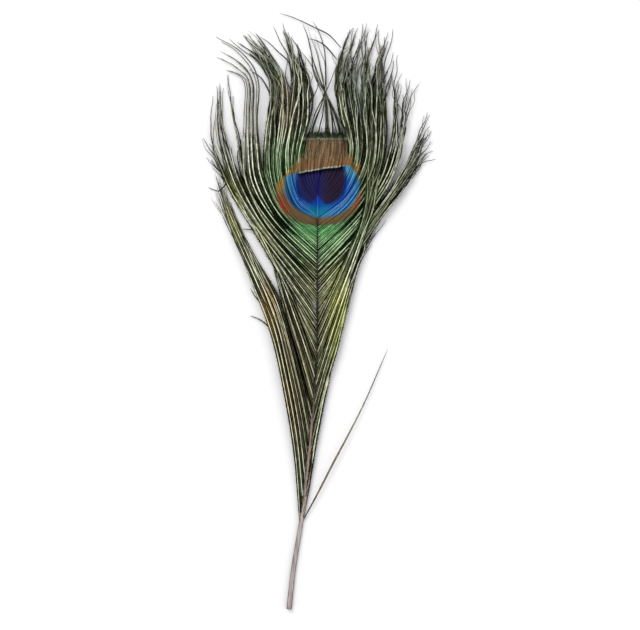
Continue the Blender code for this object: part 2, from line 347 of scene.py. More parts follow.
def barbColours(tree, withEye, dulled):
    x, y, place = placeOf(tree)
    across = abs(attribute(tree, "across"))
    tone, reach, glint = (attribute(tree, name) for name in ("tone", "reach", "glint"))
    mottle, dashes, flecks = (noise(tree, place, *grain[:2], tone * grain[2]) for grain in grains.values())
    below = glint.under(-0.5, 0.1)  # 1 on the barbs of the under layer, darkened as painted shade
    rib = across.under(0.52, 0.03)
    # painted shade in the groove beside each raised rib
    grooveShade = across.over(0.5, 0.04) * across.under(0.66, 0.08)

    web = blend(tree, mottle.over(0.5, 0.16), tint["webDark"], tint["webOlive"])
    web = blend(tree, tone.over(0.6, 0.3) * 0.6 * mottle, web, tint["webBrown"])
    ridge = blend(tree, (dashes * 0.8 + glint * 0.5).over(0.66, 0.2), tint["ribDull"], tint["ribPale"])

    def zone(share, webColour, ribColour, webShare):
        # webs keep some of their own light and dark inside a zone
        mixed = share * webShare * (0.4 + mottle * 1.1).least(1)
        return blend(tree, mixed, web, tint[webColour]), blend(tree, share, ridge, tint[ribColour])

    for middle, size, share, *colours in zones:
        web, ridge = zone(patch(x, y, middle, size) * share, *colours)
    web, ridge = zone(reach.over(0.82, 0.16) * 0.85, "webGrey", "ribGrey", 0.7)  # the tips

    # near the shaft the knit of each barb is pale beside its rib, a painted highlight; every web is dark
    # along its edge, painted shade where barbs meet
    low, vee = patch(x, y, *lowOval), patch(x, y, *veeOval)
    ribHighlight = (vee + patch(x, y, (1, -50), (20, 34)) * 0.25).least(1)
    web = blend(tree, across.under(0.66, 0.14) * ribHighlight * glint.over(0.5, 0.4) * 0.6, web, ridge)
    web = blend(tree, (flecks * 0.7 + dashes * 0.4).over(0.62, 0.07) * (0.5 - low * 0.4), web, ridge)
    # painted shade along the edge of every web, where barbs meet
    web = blend(tree, across.over(0.82, 0.16) * 0.75, web, tint["webDark"])

    eye = 0
    if withEye:
        web, ridge, eye = drawEye(tree, web, ridge, x, y, across, tone, glint, rib, flecks, mottle)
    if dulled:
        straw = patch(x, y, (14, -124), (40, 80))
        web = overlay(tree, web, [(0.6, "webGrey"), (straw, "webStraw")])
        ridge = overlay(tree, ridge, [(0.7, "webGrey"), (straw, "ribStraw")])
    colour = blend(tree, rib, web, ridge)
    # painted shade darkens the groove beside each rib, outside the eye
    colour = blend(tree, grooveShade * (1 - eye) * 0.7, colour, tint["webDark"])

    broken = 1 - rib * (1 - dashes.over(0.48, 0.1)) * 0.4  # the ribs are pale in dashes, not all along
    even = (vee * 0.9).most(patch(x, y, (0.5, -42), (14, 36)) * 0.74)  # by the shaft no barb is dull
    shown = (0.1 + glint.most(0) ** 1.3 * 1.2).most(even)
    dusky = 1 - low * (1 - rib * glint.over(0.5, 0.1)) * 0.5  # low down only the pale barbs stand out
    for middle, size, change in lightness:
        dusky = dusky + patch(x, y, middle, size) * change
    # the web of a pale barb stays darker than its rib
    webLight = (0.2 + shown * 0.42 + patch(x, y, (-20, 40), (24, 46)) * 0.08).most(even)
    shown = webLight + rib * (shown - webLight)
    light = (0.68 + flecks * 0.57) * shown * broken * dusky
    light = light * (1 - eye) + (0.74 + flecks * 0.35) * eye
    # the under layer is darkened outside the eye as painted shade
    return brighten(tree, colour, light * (1 - below * ((1 - eye) * 0.6))), rib, eye, flecks, mottle


def finishMaterial(tree, shader, looks, height, gloss, relief, depth):
    # sets the gloss, adds a fine relief and links the looks that vary
    shader.inputs["Specular IOR Level"].default_value = gloss
    values = {"Height": height, "Strength": relief, "Distance": depth}
    looks["Normal"] = addNode(tree, "ShaderNodeBump", {}, values, "Normal")
    for name, value in looks.items():
        tree.links.new(value.socket, shader.inputs[name])


def barbMaterial(name, withEye=False, dulled=False):
    material, tree, silk = newMaterial(name)
    colour, rib, eye, flecks, mottle = barbColours(tree, withEye, dulled)
    metal, rough = 0.1 + eye * 0.25 - rib * 0.1, 0.45 + mottle * 0.25
    looks = {"Base Color": colour, "Metallic": metal, "Roughness": rough}
    finishMaterial(tree, silk, looks, flecks, gloss=0.03, relief=0.25, depth=0.0001)
    return material


def groundMaterial():
    # the close-knit under layer of the eye: the same drawing, deeper in colour as painted shade under the
    # barbs
    material, tree, silk = newMaterial("eyeGround")
    colour, rib, eye, flecks, mottle = barbColours(tree, True, False)
    looks = {"Base Color": brighten(tree, colour, 0.9), "Roughness": 0.55 + mottle * 0.2}
    finishMaterial(tree, silk, looks, flecks, gloss=0.03, relief=0.5, depth=0.0002)
    return material


# Stock pieces, modelled once: a length of barb, one barbule and a length of shaft

barbStock = {
    "segments": 40,
    # across from the middle of the rib (0.5 is its edge, 1 the web's edge), and height in mm
    "section": [(-0.84, 0), (-0.5, 0.1), (-0.3, 0.36), (0.3, 0.36), (0.5, 0.1), (0.84, 0), (0.35, -0.16),
                (-0.35, -0.16)],
}
barbuleStock = {"halfWidth": 0.55, "height": 0.6, "kneeAt": 0.4}


def switchTo(mode):
    bpy.ops.object.mode_set(mode=mode)


def selectAll(action="SELECT"):
    bpy.ops.mesh.select_all(action=action)


def startFresh():
    if bpy.context.mode != "OBJECT":
        switchTo("OBJECT")
    bpy.ops.object.select_all(action="DESELECT")


def takeStock(piece):
    # the points and faces of a modelled stock piece, which then goes
    switchTo("OBJECT")
    mesh = piece.data
    points = np.empty(len(mesh.vertices) * 3)
    mesh.vertices.foreach_get("co", points)
    loops = np.empty(len(mesh.loops), np.int32)
    mesh.loops.foreach_get("vertex_index", loops)
    starts = np.empty(len(mesh.polygons), np.int32)
    mesh.polygons.foreach_get("loop_start", starts)
    bpy.data.objects.remove(piece)
    return points.reshape(-1, 3), loops, starts


def pullSection(section, segments):
    # a closed section in the YZ plane, pulled out in equal steps along X, from 0 to 1
    startFresh()
    bpy.ops.mesh.primitive_circle_add(vertices=len(section), radius=1, fill_type="NGON")
    piece = bpy.context.active_object
    for point, place in zip(piece.data.vertices, section):
        point.co = (0, *place)
    switchTo("EDIT")
    selectAll()
    for _ in range(segments):
        bpy.ops.mesh.extrude_region_move(TRANSFORM_OT_translate={"value": (1 / segments, 0, 0)})
    selectAll()
    bpy.ops.mesh.normals_make_consistent(inside=False)
    return piece


def makeBarbuleStock():
    # a three-sided spindle along X, widest at its knee, drawn to a point at both ends
    startFresh()
    about = barbuleStock
    bpy.ops.mesh.primitive_circle_add(vertices=3, radius=1, fill_type="NGON")
    piece = bpy.context.active_object
    low, knee = about["halfWidth"], about["kneeAt"]
    corners = [(knee, -low, 0), (knee, low, 0), (knee, 0, about["height"])]
    for point, place in zip(piece.data.vertices, corners):
        point.co = place
    switchTo("EDIT")
    selectAll()
    bpy.ops.mesh.extrude_region_move(TRANSFORM_OT_translate={"value": (1 - knee, 0, 0)})
    bpy.ops.mesh.merge(type="CENTER")
    bpy.ops.mesh.select_mode(type="FACE")
    selectAll("DESELECT")
    switchTo("OBJECT")
    for polygon in piece.data.polygons:
        polygon.select = abs(polygon.normal.x) > 0.99
    switchTo("EDIT")
    bpy.ops.mesh.poke()
    bpy.ops.mesh.select_mode(type="VERT")
    switchTo("OBJECT")
    for point in piece.data.vertices:
        if abs(point.co.x - knee) < 1e-4 and abs(point.co.y) < low / 2 and point.co.z < about["height"] / 2:
            point.co = (0, 0, 0)  # the root
    switchTo("EDIT")
    selectAll()
    bpy.ops.mesh.normals_make_consistent(inside=False)
    return takeStock(piece)


# Laying barbs: every barb is a copy of the stock, bent along its own course

barbRule = {
    "thinning": [(0, 1), (0.8, 0.75), (1, 0.3)],  # height of a barb along its length
    "flatInEye": 0.82,
    # the strip beside the rib is broad in the eye and narrow in the loose parts, where barbules show
    "closed": 0.38, "open": 0.5, "openFrom": (0.3, 0.65),
}
barbuleRule = {
    "blade": 0.19, "thickness": 0.16, "sweep": 1.0, "sweepSpread": (0.75, 1.25), "droop": 0.18,
    "rootShare": 0.42, "reach": (0.8, 1.3), "reachInEye": 1.02, "flatInEye": 0.9,
    "level": 0.05, "rise": (-0.05, 0.12), "jitter": 0.3,
}


def through(places, shares):
    # a smooth course through given places, shares 0 to 1 from root to tip
    places = np.asarray(places, float)
    ends = np.vstack([2 * places[0] - places[1], places, 2 * places[-1] - places[-2]])
    at = np.clip(shares, 0, 1) * (len(places) - 1)
    leg = np.minimum(at.astype(int), len(places) - 2)
    t = (at - leg)[:, None]
    a, b, c, d = ends[leg], ends[leg + 1], ends[leg + 2], ends[leg + 3]
    curve = 2 * b + (c - a) * t + (2 * a - 5 * b + 4 * c - d) * t * t
    return 0.5 * (curve + (3 * b - a - 3 * c + d) * t ** 3)


def frames(path, roll):
    # length, sideways and upward directions along a path
    steps = np.gradient(path, axis=0)
    steps /= np.linalg.norm(steps, axis=1)[:, None]
    length = np.concatenate([[0], np.cumsum(np.linalg.norm(np.diff(path, axis=0), axis=1))])
    side = np.stack([-steps[:, 1], steps[:, 0], np.zeros(len(path))], 1)
    side /= np.linalg.norm(side, axis=1)[:, None]
    up = np.cross(steps, side)
    turn = np.radians(roll)[:, None]
    return length, side * np.cos(turn) + up * np.sin(turn), up * np.cos(turn) - side * np.sin(turn)


def profileAt(along, widths):
    return np.interp(along, np.linspace(0, 1, len(widths)), widths)


def readAt(at, stations, values):
    return np.stack([np.interp(at, stations, values[:, axis]) for axis in range(3)], 1)


def bend(barb, along, across, height):
    # places of points given by their share of the length, their share across and their height in mm
    length, side, up = barb["frames"]
    path, side, up = (readAt(along * length[-1], length, values) for values in (barb["path"], side, up))
    web = profileAt(along, barb["webs"]) * barb["fullness"]
    rib = np.minimum(profileAt(along, barb["ribs"]), web * 0.6)
    share = np.abs(across)
    reach = np.where(share < 0.5, share * 2 * rib, rib + (share * 2 - 1) * (web - rib))
    return path + side * (np.sign(across) * reach)[:, None] + up * height[:, None]


def closeKnit(places):
    # 1 where the barbs lie close-knit and flat, in the eye, 0 outside it
    x, y, wide, high = growth["eye"]
    away = ((places[:, 0] - x) / wide) ** 2 + ((places[:, 1] - y) / high) ** 2
    return 1 - soft(away, 0.75, 1.1)


def layBarb(barb, draw):
    # one barb with its rows of barbules: places, loops, starts and the attributes of its points
    rule = barbRule
    points, loops, starts = stock["barb"]
    along = points[:, 0]
    knit = closeKnit(barb["path"][:, :2])
    tight = np.interp(along * barb["frames"][0][-1], barb["frames"][0], knit)
    thin = np.interp(along, *zip(*rule["thinning"])) * (1 - rule["flatInEye"] * tight)
    breadth = 1 + rule["closed"] * tight - rule["open"] * (1 - tight) * soft(along, *rule["openFrom"])
    strip = (np.abs(points[:, 1]) - 0.5).clip(0) * breadth
    across = np.sign(points[:, 1]) * (np.minimum(np.abs(points[:, 1]), 0.5) + strip)
    made = [(bend(barb, along, across, points[:, 2] * thin), loops, starts, along, across)]

    blade, bladeLoops, bladeStarts = stock["barbule"]
    # blades on the other side are mirrored, so their faces are turned round
    turned = [part[::-1] for part in np.split(np.arange(len(bladeLoops)), bladeStarts[1:])]
    mirrored = bladeLoops[np.concatenate(turned)]
    rule, length = barbuleRule, barb["frames"][0][-1]
    x, y, z = (blade[:, axis][None, :] for axis in range(3))
    for first, last in barb["fringes"]:
        count = int(length * (last - first) / barb["pitch"])
        for sign in (-1, 1):
            jitter = draw.uniform(-rule["jitter"], rule["jitter"], count)
            at = first + (np.arange(count) + jitter) / count * (last - first)
            reach = draw.uniform(*rule["reach"], count)
            close = np.interp(at * length, barb["frames"][0], knit)
            # barbules don't lie over neighbours in the eye
            reach = (reach - (reach - rule["reachInEye"]) * close)[:, None]
            sweep = rule["sweep"] * draw.uniform(*rule["sweepSpread"], count) * profileAt(at, barb["webs"])
            rise = draw.uniform(*rule["rise"], count)[:, None]
            across = sign * (rule["rootShare"] + x * (reach - rule["rootShare"]))
            ahead = (x * sweep[:, None] + y * rule["blade"]) / length
            height = rule["level"] + z * rule["thickness"] + rise * x - rule["droop"] * x * x
            height = height * (1 - rule["flatInEye"] * close)[:, None]
            around = np.clip(at[:, None] + ahead, 0, 1)
            places = bend(barb, around.ravel(), across.ravel(), height.ravel())
            corners = mirrored if sign < 0 else bladeLoops
            tiled = corners[None, :] + (np.arange(count) * len(blade))[:, None]
            begins = bladeStarts[None, :] + (np.arange(count) * len(bladeLoops))[:, None]
            made.append((places, tiled.ravel(), begins.ravel(), around.ravel(), across.ravel()))
    return made


def addMarks(mesh, marks):
    for label, values in marks.items():
        mesh.attributes.new(label, "FLOAT", "POINT").data.foreach_set("value", values)


def makeMesh(name, places, loops, starts, marks, material):
    # a smooth piece from its points, the corners of its faces, where each face starts and its attributes
    mesh = bpy.data.meshes.new(name)
    mesh.vertices.add(len(places))
    mesh.vertices.foreach_set("co", places.ravel())
    mesh.loops.add(len(loops))
    mesh.loops.foreach_set("vertex_index", loops)
    mesh.polygons.add(len(starts))
    mesh.polygons.foreach_set("loop_start", starts)
    mesh.update(calc_edges=True)
    mesh.shade_smooth()
    addMarks(mesh, marks)
    mesh.materials.append(material)
    piece = bpy.data.objects.new(name, mesh)
    scene.collection.objects.link(piece)
    return piece


def joinBarbs(name, barbs, material, draw):
    # all barbs of a piece in one mesh, each with its own strip of the map
    rows = []
    pointCount = loopCount = 0
    for number, barb in enumerate(barbs):
        barb["frames"] = frames(barb["path"], barb["roll"])
        for places, loops, starts, reach, across in layBarb(barb, draw):
            constants = ((number + 0.5) / len(barbs), barb["tone"], barb["glint"])
            constants = [np.full(len(places), value) for value in constants]
            rows.append((places * mm, loops + pointCount, starts + loopCount, reach, across, *constants))
            pointCount += len(places)
            loopCount += len(loops)
    places, loops, starts, reach, across, strip, tone, glint = map(np.concatenate, zip(*rows))
    marks = {"across": across, "reach": reach, "tone": tone, "glint": glint}
    piece = makeMesh(name, places, loops, starts, marks, material)
    upright = strip + across * 0.42 / len(barbs)
    flat = np.stack([0.01 + 0.98 * reach, upright], 1)[loops]
    piece.data.uv_layers.new(name="OFBake").uv.foreach_set("vector", flat.ravel())
    keepPiece(piece)


triangles = {}


def keepPiece(piece):
    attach(piece, "root")
    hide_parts("feather")
    triangles[piece.name] = sum(len(polygon.vertices) - 2 for polygon in piece.data.polygons)
    print(piece.name, "is made,", triangles[piece.name], "triangles")


# The shaft: round horn with a hollow cut end, thinning towards the eye

shaft = {
    "route": [(-14.5, -212), (-12.3, -192), (-8.9, -171), (-5.7, -152), (-3.1, -122), (-0.8, -92), (0, -50),
              (0, -14), (0, 9)],
    "widthAtCut": 2.7, "widthAtEye": 0.9, "lift": 0.1, "sides": 16, "segments": 90, "samples": 120,
    "endFrom": 0.97, "endThin": 0.75, "rim": 0.3, "hollow": 0.02,
    "seam": 0.12, "seamWidth": 0.16, "seamTo": 0.55,
    # pairs of colours, dark and light
    "stem": ((138, 126, 120), (190, 182, 178)), "russet": ((84, 62, 52), (176, 148, 136)),
    "rachis": ((12, 13, 6), (52, 50, 32)), "edgePaintedShade": (84, 68, 58), "seamShade": (130, 100, 90),
    "russetFrom": (-158, 16), "rachisFrom": (-112, 22),
}


def shaftMaterial():
    about = shaft
    material, tree, horn = newMaterial("shaftHorn")
    x, y, place = placeOf(tree)
    across = abs(attribute(tree, "across"))
    long = addNode(tree, "ShaderNodeMapping", {}, {"Vector": place, "Scale": (1, 0.06, 1)})
    streaks = noise(tree, long, 1500, 3)
    specks = noise(tree, place, 420, 2)

    def pair(share, name):
        return blend(tree, share, *(linear(*colour) for colour in about[name]))

    stem = pair(streaks.over(0.5, 0.15), "stem")
    # painted shade darkens the rounded sides of the shaft
    stem = blend(tree, across.over(0.72, 0.14) * 0.85, stem, linear(*about["edgePaintedShade"]))
    stem = blend(tree, across.under(0.1, 0.08) * 0.5, stem, linear(*about["seamShade"]))
    colour = blend(tree, y.over(*about["russetFrom"]), stem, pair(streaks.over(0.5, 0.15), "russet"))
    colour = blend(tree, y.over(*about["rachisFrom"]), colour, pair(specks.over(0.6, 0.1), "rachis"))
    # in the eye it takes the colours of the drawing
    colour = overlay(tree, colour, [
        (y.over(-12.2, 1.2), "notchFoot"), (y.over(-6.5, 2), "notch"), (y.over(-1.5, 1.5), "pupil"),
    ])
    looks = {"Base Color": colour, "Roughness": 0.4 + specks * 0.2}
    finishMaterial(tree, horn, looks, streaks, gloss=0.25, relief=0.4, depth=0.0002)
    return material


def makeShaft(material):
    about = shaft
    turns = [2 * math.pi * number / about["sides"] for number in range(about["sides"])]
    piece = pullSection([(math.cos(turn), math.sin(turn)) for turn in turns], about["segments"])
    selectAll("DESELECT")
    switchTo("OBJECT")
    for polygon in piece.data.polygons:
        polygon.select = len(polygon.vertices) > 4 and polygon.center.x < 0.5
    switchTo("EDIT")
    bpy.ops.mesh.select_mode(type="FACE")
    bpy.ops.mesh.inset(thickness=about["rim"])
    bpy.ops.mesh.extrude_region_move(TRANSFORM_OT_translate={"value": (about["hollow"], 0, 0)})
    bpy.ops.mesh.select_mode(type="VERT")
    points, loops, starts = takeStock(piece)

    along = points[:, 0]
    samples = np.linspace(0, 1, about["samples"])
    width = about["widthAtCut"] + (about["widthAtEye"] - about["widthAtCut"]) * samples
    width = width * (1 - about["endThin"] * soft(samples, about["endFrom"], 1))
    path = np.column_stack([through(about["route"], samples), about["lift"] + width / 2])
    half = np.interp(along, samples, width)[:, None] / 2
    length, side, up = frames(path, np.zeros(len(path)))
    path, side, up = (readAt(along, samples, values) for values in (path, side, up))
    # a shallow seam runs along the top, as where two halves of the horn meet
    seam = about["seam"] * np.exp(-(points[:, 1] / about["seamWidth"]) ** 2)
    seam = seam * (points[:, 2] > 0) * (along < about["seamTo"])
    rise = (points[:, 2] - seam)[:, None]
    places = (path + side * points[:, 1:2] * half + up * rise * half) * mm
    keepPiece(makeMesh("shaft", places, loops, starts, {"across": points[:, 1]}, material))


# The ground of the eye: the close-knit layer that shows between the barbs

ground = {
    "halfWidth": 22.5, "topY": 29.5, "pointY": -45.0, "sharpness": 0.35, "level": 0.6, "rise": 0.85,
    "riseFrom": 3, "riseTo": 17, "rings": 7, "sides": 72, "thickness": 0.25,
    # an across of 0.8 gives the ground part of the painted shade along a web's edge
    "marks": {"across": 0.8, "tone": 0.4, "reach": 0.2, "glint": 0.3},
}


def makeGround(material):
    about = ground
    startFresh()
    bpy.ops.mesh.primitive_circle_add(vertices=about["sides"], radius=1, fill_type="NGON")
    piece = bpy.context.active_object
    piece.name = piece.data.name = "eyeGround"
    switchTo("EDIT")
    bpy.ops.mesh.select_mode(type="FACE")
    selectAll()
    for _ in range(about["rings"]):
        bpy.ops.mesh.inset(thickness=1 / (about["rings"] + 1))
    bpy.ops.mesh.poke()
    switchTo("OBJECT")
    for point in piece.data.vertices:
        side, rise = point.co.x, point.co.y
        size = math.hypot(side, rise)
        sharp = abs(side / size) ** about["sharpness"] if size > 1e-6 and rise < 0 else 1
        x = about["halfWidth"] * side * sharp
        y = about["topY"] * rise if rise >= 0 else -about["pointY"] * rise
        # it lies close under the barbs
        lift = about["rise"] * soft(math.hypot(x, max(y, 0)), about["riseFrom"], about["riseTo"])
        point.co = (x * mm, y * mm, (about["level"] + lift) * mm)
    wall = piece.modifiers.new("wall", "SOLIDIFY")
    wall.thickness, wall.offset = about["thickness"] * mm, -1
    bpy.ops.object.modifier_apply(modifier="wall")
    piece.data.shade_smooth()
    count = len(piece.data.vertices)
    addMarks(piece.data, {label: np.full(count, value) for label, value in about["marks"].items()})
    piece.data.materials.append(material)
    keepPiece(piece)


# Tufts: courses of the innermost and outermost barb of each, root to tip

# half widths of webs and ribs in mm, in equal steps from root to tip
eyeWebs = (0.4, 1.05, 1.1, 1.2, 1.25, 1.2, 1.15, 0.95, 0.7, 0.5, 0.2)
looseWebs = (0.4, 1.0, 1.25, 1.35, 1.3, 1.15, 0.95, 0.75, 0.58, 0.4, 0.16)
thinWebs = (0.4, 1.0, 1.2, 1.2, 1.05, 0.82, 0.64, 0.56, 0.5, 0.4, 0.2)
slimWebs = (0.4, 1.0, 1.25, 1.3, 1.25, 1.1, 0.94, 0.74, 0.56, 0.4, 0.16)
lowWebs = (0.4, 0.95, 1.1, 1.15, 1.2, 1.2, 1.05, 0.85, 0.6, 0.34, 0.1)
eyeRibs = (0.12, 0.1, 0.12, 0.16, 0.2, 0.22, 0.21, 0.2, 0.17, 0.14, 0.07)
looseRibs = (0.12, 0.16, 0.2, 0.23, 0.25, 0.25, 0.23, 0.2, 0.17, 0.13, 0.06)
combRibs = (0.08, 0.1, 0.12, 0.13, 0.13, 0.13, 0.13, 0.12, 0.1, 0.08, 0.04)

# how far each sixth of a barb has moved to its lock's place at the tip
openDrift, closeDrift = (0, 0, 0.05, 0.28, 0.65, 0.85), (0, 0, 0.03, 0.14, 0.4, 0.7)
clumpDrift = (0, 0, 0.12, 0.5, 0.8, 0.95)

# what a tuft has unless it says otherwise: one barb in 2 is pale, under and loose are shares
usualTuft = {"barbs": 12, "locks": 4, "arch": 3.0, "webs": lowWebs, "ribs": looseRibs, "drift": openDrift,
             "pale": 2, "dull": 0.29, "hook": 2.0, "lively": 1, "under": 0.6, "loose": 0.4, "underEnd": 0}
crownTuft = {"pale": 3, "drift": closeDrift, "webs": eyeWebs, "ribs": eyeRibs}
# most barbs of the comb end as short teeth, every fourth crosses the gap, every eighth goes on
combTuft = {
    "locks": 12, "arch": 1.2, "webs": eyeWebs, "ribs": combRibs, "under": 0.5, "loose": 0,
    "hook": 0, "lively": 0.45, "comb": 30.9, "bareTo": 57, "teethEnd": 0.43, "tentEnd": 0.64,
}
tufts = {
    "crownLeft": {
        **crownTuft, "barbs": 14, "locks": 3, "arch": 2.6, "hook": 3,
        "inner": [(0, -4), (-7.5, 5), (-8.2, 21), (-3, 42), (-3.5, 60), (-9, 78)],
        "outer": [(0, -13), (-11, -6), (-16.8, 12), (-15.5, 36), (-14, 62), (-18, 89)]},
    "upperLeft": {
        **crownTuft, "barbs": 16, "arch": 3.2, "hook": 4,
        "inner": [(0, -14), (-13, -6), (-17.5, 14), (-14, 38), (-16.5, 60), (-29, 86)],
        "outer": [(0, -27), (-18, -10), (-26.5, 9), (-27, 32), (-25, 59), (-40, 84)]},
    "bentLeft": {
        "barbs": 8, "arch": 3.4, "webs": thinWebs, "hook": 0, "lively": 0.35, "underEnd": 0.5, "loose": 0,
        "inner": [(0, -28), (-18, -11), (-27, 6.5), (-29.5, 23), (-30.5, 38), (-30, 57), (-37.5, 71),
                  (-52, 81)],
        "outer": [(0, -39), (-22.5, -17), (-35.5, 3), (-38, 22), (-37.5, 40), (-37.5, 57), (-45, 61.5),
                  (-56, 64)]},
    "flankLeft": {
        "webs": slimWebs, "pale": 3, "hook": -1.0, "lively": 0.45,
        "underEnd": 0.62, "loose": 0.1, "drift": clumpDrift,
        "inner": [(0, -40), (-25, -15), (-36, 9), (-39.5, 27), (-43, 44), (-46.5, 62)],
        "outer": [(0, -58), (-26, -24.5), (-42, -3), (-51, 14), (-55, 28), (-54, 52)]},
    "marginLeft": {
        "barbs": 14, "arch": 2.4, "webs": looseWebs, "pale": 3, "lively": 0.7,
        "underEnd": 0.8, "loose": 0.2,
        "inner": [(0, -60), (-24, -28), (-39, -8), (-48, 8), (-53, 20), (-55.5, 34)],
        "outer": [(-0.2, -84), (-10, -60), (-19, -40), (-28.3, -21.8), (-40.5, -3.8), (-52, 15.5)]},
    "innerLeft": {
        "arch": 1.6, "pale": 4, "dull": 0.2, "hook": 0.5, "lively": 0.5,
        "inner": [(-0.5, -86), (-8, -66), (-13.5, -52), (-19, -38.5), (-24.6, -26.5), (-33, -14)],
        "outer": [(-2.4, -114), (-8.4, -92), (-14, -72), (-18, -56), (-20, -45), (-22, -35)]},
    "lowerLeft": {
        "barbs": 21, "locks": 5, "pale": 4, "dull": 0.2, "hook": 0, "lively": 0.6,
        "inner": [(-2.8, -115), (-7.6, -97), (-13.4, -75), (-20.4, -52), (-32.4, -31), (-42.5, -10),
                  (-50, 12)],
        "outer": [(-8.4, -168), (-11.5, -134), (-17, -100), (-24, -70), (-35, -41), (-45.5, -16),
                  (-52.5, 5)]},
    "middleLeft": {
        **combTuft,
        "inner": [(0, 3), (1.4, 14), (4.3, 31), (4, 49), (1, 65), (-4, 86)],
        "outer": [(0, -3.4), (-7.4, 8.5), (-5.6, 31), (2.4, 49), (5, 66), (-1, 86)]},
    "middleRight": {
        **combTuft,
        "inner": [(0, 3.2), (2.6, 14), (5, 31), (4.4, 49), (1.5, 65), (-4, 86)],
        "outer": [(0, -3.2), (12.4, 9.5), (13.8, 31), (5.8, 49), (-3, 65), (-7, 86)]},
    "crownRight": {
        **crownTuft, "barbs": 14, "locks": 3, "arch": 2.6, "hook": 4,
        "inner": [(0, -3), (11, 8), (15.6, 24), (9.4, 45), (8, 64), (15, 86)],
        "outer": [(0, -12), (14.5, -1), (22, 18), (22, 40), (20, 62), (20, 87)]},
    "upperRight": {
        **crownTuft, "barbs": 16, "arch": 3.2, "hook": 5,
        "inner": [(0, -13), (15.5, -1), (24, 18), (23.5, 40), (21.5, 62), (21.5, 88)],
        "outer": [(0, -28), (19, -10), (31, 9), (35, 32), (35, 56), (32, 84)]},
    "sideRight": {
        "barbs": 8, "arch": 3.4, "webs": looseWebs,
        "inner": [(0, -30), (21, -10), (33, 10), (37.5, 30), (38, 50), (37, 72)],
        "outer": [(0, -39), (23, -14), (37, 6), (43.5, 24), (46, 42), (48.5, 62)]},
    "fanRight": {
        "locks": 6, "webs": looseWebs, "pale": 3,
        "inner": [(0, -41), (22, -19), (37, 1), (46, 16), (52, 30), (56, 48)],
        "outer": [(0, -60), (19, -32), (32, -13), (42, 0), (50, 10.5), (58, 21)]},
    "neckRight": {
        "arch": 3.8, "pale": 3,
        "inner": [(0, -62), (13, -36), (22.5, -13), (25, 6), (24, 26), (19, 58)],
        "outer": [(-0.5, -88), (12, -55), (22, -27), (30, -3), (33, 20), (28, 62)]},
    "marginRight": {
        "barbs": 16, "locks": 5, "arch": 2.6, "pale": 4, "dull": 0.2, "lively": 0.6,
        "inner": [(-0.8, -90), (7, -68), (15, -44), (23, -22), (32, -3), (39, 28)],
        "outer": [(-3.3, -126), (3, -102), (9.5, -80), (15.5, -56), (21, -35), (39, -6)]},
    "footRight": {
        "barbs": 11, "arch": 1.6, "pale": 3, "hook": 0.3, "lively": 0.35,
        "inner": [(-3.6, -128), (0.5, -112), (5, -95), (9, -79), (12, -66), (15, -52)],
        "outer": [(-8, -165), (-4.5, -149), (-2, -131), (1, -113), (5, -96), (9, -80)]},
}

growth = {
    "samples": 72, "level": 1.15, "tipHeight": 0.9, "layers": 0.32, "layerSpread": 0.2,
    # the eye's middle and reach, and where barbs cover the shaft
    "eye": (1.5, 7.0, 20.5, 23.5), "coverFrom": (-14, -9),
    # what sets a barb apart from its neighbours
    "shortest": 0.84, "crossing": 0.2, "lockSpread": 0.35, "rootSpread": 0.3, "curl": 3.4, "roll": 24,
    "wave": 0.7, "waveTurns": (1.0, 2.4), "crook": 0.16, "crookTurns": (4, 7), "crimp": 0.45,
    "crimpTurns": (5, 9), "fullness": (0.78, 1.08), "glintSpread": 0.2, "paleGlint": 0.79,
    "fringe": (0.02, 0.99), "pitch": 0.62, "teeth": 0.2,
    # the layer beneath, and thin barbs that stray over others
    "underDrop": 0.75, "underFuller": 0.17, "underShorter": 0.05, "underPitch": 1.1,
    "underFrom": 0.06, "underSpan": 0.88,
    "flyReach": (-0.1, 1.1), "flyLively": 2.2, "flyLift": 0.5, "flyPitch": 1.0,
    "flyWebs": (0.15, 0.3, 0.4, 0.45, 0.45, 0.42, 0.4, 0.35, 0.3, 0.22, 0.06),
}


def shaftWidth(y):
    low, high = shaft["route"][0][1], shaft["route"][-1][1]
    return np.interp(y, (low, high), (shaft["widthAtCut"], shaft["widthAtEye"]))


def aside(draw, reach):
    return draw.uniform(-reach, reach)


def sway(shares, draw, turns):
    # a wave along a barb
    return np.sin(2 * np.pi * (shares * draw.uniform(*turns) + draw.uniform()))


def bareStem(barb, about, tooth):
    # above the comb a barb is bare, and only a long one has a web again at its tip
    length = frames(barb["path"], np.zeros(growth["samples"]))[0]
    combAt, bareTo = np.interp((about["comb"], about["bareTo"]), barb["path"][:, 1], length / length[-1])
    combAt = min(combAt, 0.95)
    stations = (0, 0.1, combAt - 0.02, combAt, combAt + 0.015, max(min(bareTo, 0.97), combAt + 0.02), 1)
    foot, top = (0.2, 0.12) if tooth else (1.1, 0.4)
    barb["webs"] = np.interp(np.linspace(0, 1, 81), stations, (0.3, 1.05, 1.1, 0.9, foot, top, 0.05))
    barb["fringes"] = [(0.02, combAt - 0.02)]
    if bareTo < 0.9:
        barb["fringes"].append((bareTo, 0.98))
    barb["glint"] = max(barb["glint"], 0.1)


